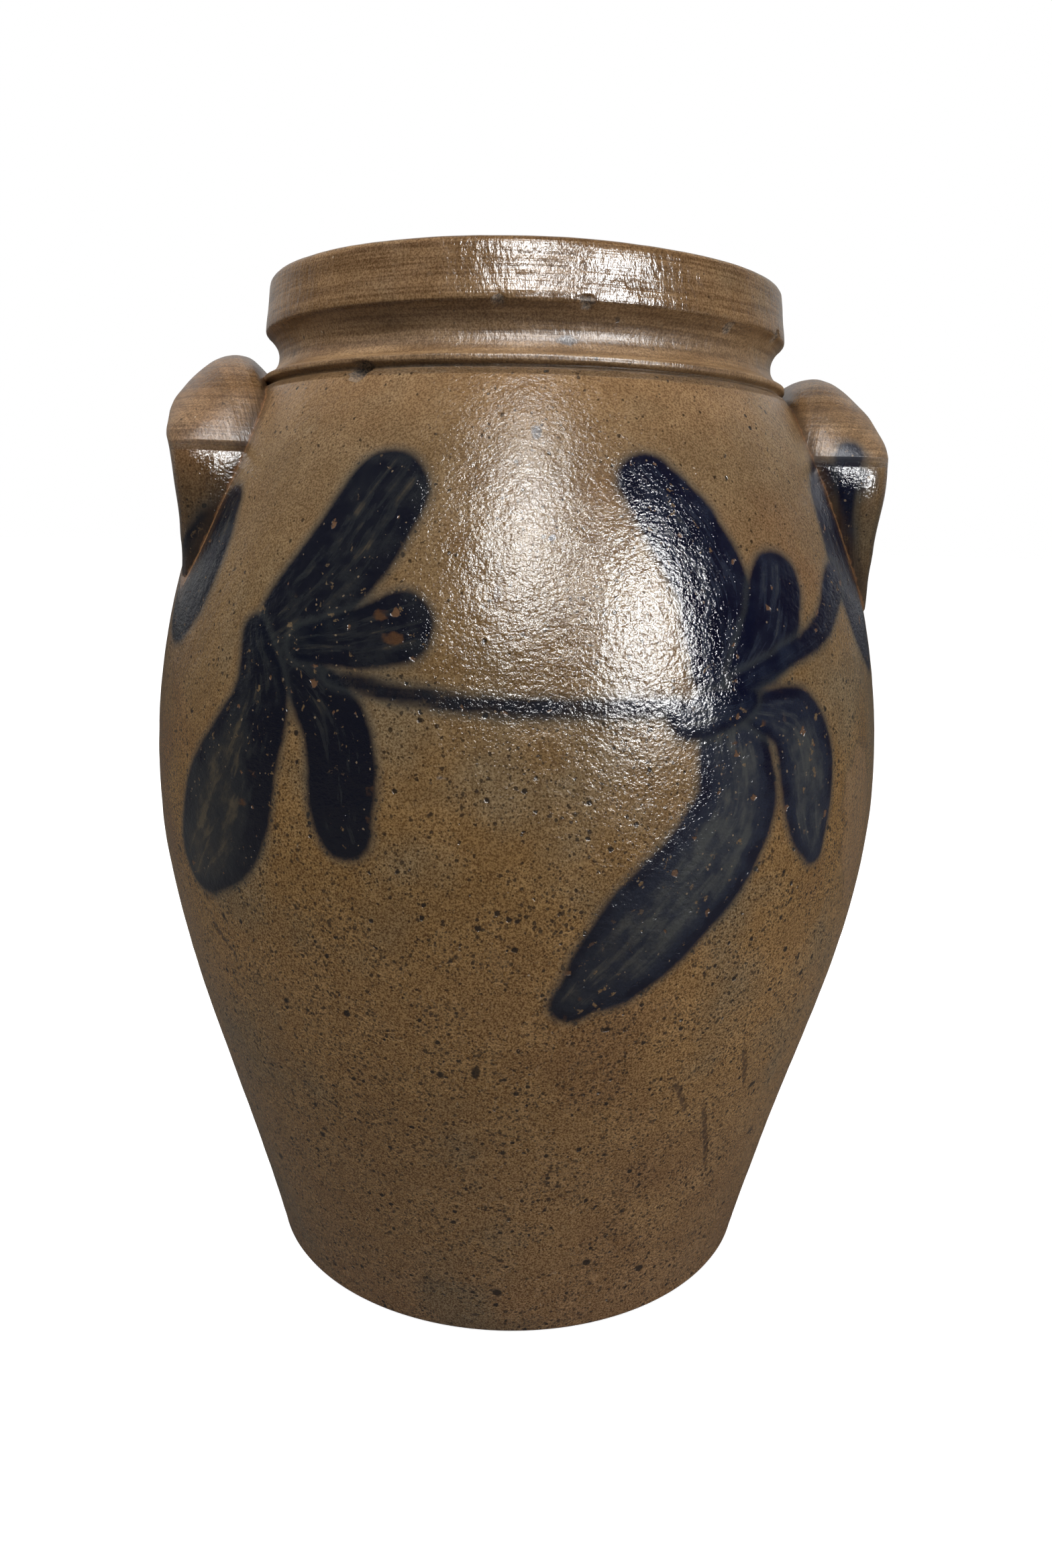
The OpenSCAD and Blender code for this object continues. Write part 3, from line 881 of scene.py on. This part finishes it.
def brushwork(s, colour, rough, relief, grain):
    """All three layers of cobalt, and the clay, rust and salt that break through them."""
    x, _, z = s.split(s.place)
    clay = colour
    blue = s.step(x, -0.03, 0.045)
    far_left = s.step(x, -0.078, -0.092)
    drained = s.step(z, 0.235, 0.200)
    low = s.times(drained, s.math("MAXIMUM", blue, s.times(far_left, 0.75)))
    heavy = s.times(drained, s.times(s.step(x, -0.025, -0.045), s.step(x, -0.092, -0.078)))
    patchy = s.noise(120, 4, 0.65)
    fray = s.add(s.times(s.add(patchy, -0.5), 2.0), s.times(s.add(grain, -0.5), 1.6))
    slip = [s.mix(blue, left, right) for left, right in zip(COBALT["left"], COBALT["right"])]
    cover = 0.0
    for name in ("stroke_under", "stroke_middle", "stroke_over"):
        colour, cover = brush_layer(s, name, colour, slip, patchy, fray, (low, heavy), cover)
    broken = s.noise(330, 3, 0.65, s.warped(200, 0.004))
    gaps = s.times(s.step(broken, 0.63, 0.68), s.step(s.noise(34, 2), 0.44, 0.56))
    colour = s.mix(s.times(gaps, 0.7), colour, s.mix(0.35, clay, (0.20, 0.14, 0.08)))
    rust = s.times(s.specks(170, 0.42, 0.21, s.warped(500, 0.003)), cover)
    colour = s.mix(s.times(rust, 0.8), colour, (0.150, 0.078, 0.040))
    clusters = s.step(s.noise(45, 2), 0.46, 0.60)
    flecks = s.times(s.specks(520, s.add(0.08, s.times(clusters, 0.45)), 0.20, s.warped(900, 0.001)), cover)
    colour = s.mix(s.times(flecks, 0.7), colour, (0.26, 0.19, 0.12))
    rough = s.add(rough, s.times(cover, -0.03))
    relief = s.math("SUBTRACT", relief, s.times(rust, 0.15))
    return colour, rough, relief


def body_glaze():
    s = Shader("salt_glaze_body_look")
    _, _, z = s.split(s.place)
    height = s.math("DIVIDE", z, CROCK_H)
    colour, rough, relief, grain = salted_clay(s, height)
    colour, rough, relief = brushwork(s, colour, rough, relief, grain)
    scar, chip, cut = s.split(s.attribute("marks")[0])
    ragged = s.times(s.add(s.noise(500, 2), -0.5), 2.4)
    scar = s.add(s.add(scar, ragged), s.times(s.add(s.noise(75, 2), -0.5), 16))
    edge = s.times(s.step(scar, -1.0, 0.4), s.step(scar, 2.0, 0.4))
    colour = s.mix(s.step(scar, 0.0, 2.5, 0, 0.35), colour, (0.27, 0.16, 0.085))
    colour = s.mix(s.times(edge, 0.3), colour, (0.060, 0.038, 0.026))
    broken = s.step(s.add(chip, ragged), -0.6, 0.5)
    chipped = s.mix(s.step(grain, 0.4, 0.6), (0.06, 0.045, 0.035), (0.30, 0.21, 0.13))
    colour = s.mix(s.times(broken, 0.85), colour, chipped)
    dark, rusty, grey = s.split(s.attribute("spots")[0])
    frayed = s.times(ragged, 0.7)
    colour = s.mix(s.step(s.add(grey, frayed), -0.5, 0.5, 0, 0.75), colour, (0.085, 0.090, 0.100))
    colour = s.mix(s.step(s.add(rusty, frayed), -0.5, 0.4, 0, 0.85), colour, (0.085, 0.042, 0.020))
    colour = s.mix(s.step(s.add(dark, frayed), -0.5, 0.4, 0, 0.9), colour, (0.018, 0.011, 0.007))
    scored = s.step(s.add(cut, s.times(ragged, 0.3)), -0.6, 0.3)
    colour = s.mix(s.times(scored, 0.75), colour, (0.060, 0.032, 0.018))
    joint = s.add(s.attribute("joint")[1], s.times(ragged, 0.5))
    # painted shade: the glaze darkens within 6 mm of a handle, where the crease between handle and wall
    # lies in shade. The orange line at the joint itself is bare clay.
    colour = s.mix(s.step(joint, 6.0, 1.5, 0, 0.5), colour, (0.060, 0.034, 0.018))
    colour = s.mix(s.step(joint, 1.5, 0.8, 0, 0.75), colour, (0.30, 0.155, 0.070))
    inner = s.mix(s.step(s.noise(60, 3), 0.35, 0.65), (0.060, 0.028, 0.014), (0.105, 0.055, 0.028))
    colour = s.mix(s.attribute("outside")[1], inner, colour)
    rough = s.add(rough, s.times(broken, 0.3))
    relief = s.math("SUBTRACT", relief, s.times(scored, 0.25))
    return s.finish(colour, rough, s.bump(relief), IOR=1.5)


def handle_glaze():
    s = Shader("salt_glaze_handle_look")
    _, _, z = s.split(s.place)
    height = s.math("DIVIDE", z, CROCK_H)
    colour, rough, relief, grain = salted_clay(s, s.add(height, 0.06))
    along, around, _ = s.split(s.attribute("pull")[0])
    lines = s.noise(1.0, 3, 0.6, s.join(s.times(along, 0.03), s.times(around, 0.16), 0.0))
    # the pulling lines, times painted shade: below 0.3 m the strap is darkened, to 0.62 of its colour below
    # 0.268 m, where the underside of its bend and its legs lie in shade
    lines_and_painted_shade = s.times(s.step(lines, 0.34, 0.66, 0.84, 1.10), s.step(z, 0.268, 0.300, 0.62, 1.0))
    colour = s.mix(1.0, colour, s.join(lines_and_painted_shade, lines_and_painted_shade, lines_and_painted_shade), "MULTIPLY")
    colour, rough, relief = brushwork(s, colour, rough, relief, grain)
    joint = s.add(s.attribute("joint")[1], s.times(s.add(s.noise(400, 2), -0.5), 2.0))
    # painted shade: the strap darkens within 5 mm of the wall, where the crease lies in shade. The orange
    # line right at the wall is bare clay.
    colour = s.mix(s.step(joint, 5.0, 1.0, 0, 0.6), colour, (0.060, 0.034, 0.018))
    colour = s.mix(s.step(joint, 0.7, 0.1, 0, 0.6), colour, (0.28, 0.14, 0.065))
    relief = s.add(s.times(relief, 0.8), s.times(lines, 0.22))
    return s.finish(colour, s.add(rough, 0.04), s.bump(relief), IOR=1.5)


LID_TONE = 0.88  # the height on the crock, as a share of its own, whose glaze the lid has


def lid_look():
    s = Shader("lid_glaze_look")
    colour, rough, relief, _ = salted_clay(s, LID_TONE)
    return s.finish(colour, rough, s.bump(relief), IOR=1.5)


def bare_clay():
    s = Shader("bare_stoneware_look")
    tones = [(0.3, (0.33, 0.26, 0.19)), (0.55, (0.42, 0.34, 0.25)), (0.75, (0.47, 0.37, 0.27))]
    base = s.ramp(s.noise(38, 4, 0.6), tones)
    grit = s.noise(1300, 3, 0.7)
    fleck = s.step(grit, 0.35, 0.65, 0.78, 1.15)
    colour = s.mix(1.0, base, s.join(fleck, fleck, fleck), "MULTIPLY")
    iron = s.specks(300, 0.10, 0.16)
    colour = s.mix(s.times(iron, 0.7), colour, (0.10, 0.05, 0.03))
    flush = s.step(s.noise(20, 2), 0.5, 0.7, 0, 0.5)
    colour = s.mix(flush, colour, (0.46, 0.29, 0.17))
    relief = s.add(s.times(grit, 0.22), s.times(s.noise(250, 2), 0.30))
    return s.finish(colour, s.step(grit, 0.3, 0.7, 0.78, 0.92), s.bump(relief), IOR=1.45)


# ---------------------------------------------------------------- stage, lights and camera

def by_ray(tree, kind, otherwise, seen):
    """A number that is one value to rays of a kind, such as Is Camera Ray, and another to the rest."""
    path = tree.nodes.new("ShaderNodeLightPath")
    choice = tree.nodes.new("ShaderNodeMix")
    choice.data_type = "FLOAT"
    tree.links.new(path.outputs[kind], choice.inputs[0])
    for socket, value in zip(choice.inputs[2:4], (otherwise, seen)):
        if isinstance(value, bpy.types.NodeSocket):
            tree.links.new(value, socket)
        else:
            socket.default_value = value
    return choice.outputs[0]


def make_stage():
    """A pale floor. It throws little of its light back at the crock, as a dark room would."""
    s = Shader("pale_floor")
    tone = by_ray(s.tree, "Is Camera Ray", 0.10, 0.80)
    glow = by_ray(s.tree, "Is Camera Ray", 0.0, 0.85)
    s.feed(s.surface.inputs["Emission Strength"], glow)
    s.feed(s.surface.inputs["Emission Color"], (1, 1, 1))
    s.finish(s.join(tone, tone, tone), 0.9, s.bump(s.noise(60, 2)), IOR=1.2)
    radius = 12.0
    corners = [(radius * math.cos(t), radius * math.sin(t), 0) for t in np.linspace(0, 2 * np.pi, 97)[:-1]]
    mesh = bpy.data.meshes.new("floor")
    mesh.from_pydata(corners, [], [tuple(range(len(corners)))])
    mesh.materials.append(s.material)
    floor = bpy.data.objects.new("floor", mesh)
    bpy.context.scene.collection.objects.link(floor)
    floor.location.z = -0.2 * MM


SOFTBOXES = [  # name, azimuth and elevation in degrees, width and height in m, radiance, what it lights
    ("ceiling_box", -3, 35, 0.34, 0.44, 52, "gloss"),
    ("window_box", 33, 19.5, 0.20, 0.48, 104, "gloss"),
    ("lamp_box", -2, 60, 0.3, 0.3, 22, "gloss"),
    ("ceiling_light", -9, 60, 0.5, 0.5, 17, "matt"),
    ("window_light", 60, -4, 0.9, 0.9, 5.8, "matt"),
    ("left_light", -75, 44, 0.9, 0.9, 3.6, "matt"),
]


def softbox(name, azimuth, elevation, width, height, radiance, lights):
    """An area light that looks at the crock's shoulder, and lights its gloss or its matt colour."""
    distance = 1.5
    a, e = math.radians(azimuth), math.radians(elevation)
    way = Vector((math.sin(a) * math.cos(e), -math.cos(a) * math.cos(e), math.sin(e)))
    light = bpy.data.lights.new(name, "AREA")
    light.shape, light.size, light.size_y = "RECTANGLE", width, height
    light.energy = radiance * math.pi * width * height
    lamp = bpy.data.objects.new(name, light)
    bpy.context.scene.collection.objects.link(lamp)
    lamp.location = Vector((0, 0, 0.72 * CROCK_H)) + way * distance
    lamp.rotation_mode = "QUATERNION"
    lamp.rotation_quaternion = way.to_track_quat("Z", "Y")
    lamp.visible_diffuse = lights == "matt"
    lamp.visible_glossy = lights == "gloss"


def map_range(tree, value, numbers, ease="LINEAR"):
    """The value carried from one range to another: numbers are its low and high, then theirs."""
    node = tree.nodes.new("ShaderNodeMapRange")
    node.interpolation_type = ease
    tree.links.new(value, node.inputs[0])
    for socket, number in zip(node.inputs[1:5], numbers):
        socket.default_value = number
    return node.outputs[0]


def make_world():
    """A white surround to the eye, that is dim in the gloss of the glaze."""
    world = bpy.data.worlds.new("surround")
    world.use_nodes = True
    tree = world.node_tree
    way = tree.nodes.new("ShaderNodeSeparateXYZ")
    tree.links.new(tree.nodes.new("ShaderNodeTexCoord").outputs["Generated"], way.inputs[0])
    behind = map_range(tree, way.outputs["Y"], (0.0, 0.9, 0.03, 0.48), "SMOOTHSTEP")
    above = map_range(tree, way.outputs["Z"], (-0.2, 1.0, 0.16, 0.50))
    rising = map_range(tree, way.outputs["Z"], (-0.05, 0.35, 0.40, 1.0), "SMOOTHSTEP")
    gloss = tree.nodes.new("ShaderNodeMath")
    gloss.operation = "MULTIPLY"
    tree.links.new(behind, gloss.inputs[0])
    tree.links.new(rising, gloss.inputs[1])
    soft = by_ray(tree, "Is Glossy Ray", above, gloss.outputs[0])
    strength = by_ray(tree, "Is Camera Ray", soft, 1.0)
    tree.links.new(strength, tree.nodes["Background"].inputs["Strength"])
    tree.nodes["Background"].inputs["Color"].default_value = (1, 1, 1, 1)
    bpy.context.scene.world = world


def make_camera():
    """Close in front, a little below the rim, and rolled by just over a degree."""
    azimuth, distance, height = math.radians(-4), 0.4237, 0.2685
    pitch, yaw, roll = math.radians(13.06), math.radians(0.475), 0.0215
    camera = bpy.data.objects.new("camera", bpy.data.cameras.new("camera"))
    bpy.context.scene.collection.objects.link(camera)
    camera.data.lens, camera.data.sensor_width = 26.03, 36
    camera.data.clip_start = 0.01
    camera.location = (distance * math.sin(azimuth), -distance * math.cos(azimuth), height)
    ahead = Vector((math.sin(yaw - azimuth), math.cos(yaw - azimuth), 0))
    ahead = ahead * math.cos(pitch) + Vector((0, 0, -math.sin(pitch)))
    look = ahead.to_track_quat("-Z", "Y")
    camera.rotation_mode = "QUATERNION"
    camera.rotation_quaternion = look @ Quaternion((0, 0, -1), -roll)
    bpy.context.scene.camera = camera


def paint(pieces, material):
    for piece in pieces:
        piece.data.materials.append(material)


def main():
    bpy.context.scene.view_settings.view_transform = "Standard"
    make_camera()
    left = make_handle("handle_left_pulled", "handle_left", 0, 0, -1, 31)
    right = make_handle("handle_right_pulled", "handle_right", RIGHT_LUG_DROP, RIGHT_LUG_OUT, 1, 41)
    crock = make_crock([left, right])
    paint([crock], body_glaze())
    paint([left, right], handle_glaze())
    paint(make_lid(), lid_look())
    weights = [make_weight("weight_left_slab", "weight_left", "left_weight", -1, 51),
               make_weight("weight_right_slab", "weight_right", "right_weight", 1, 61)]
    paint(weights, bare_clay())
    make_stage()
    make_world()
    for box in SOFTBOXES:
        softbox(*box)


main()
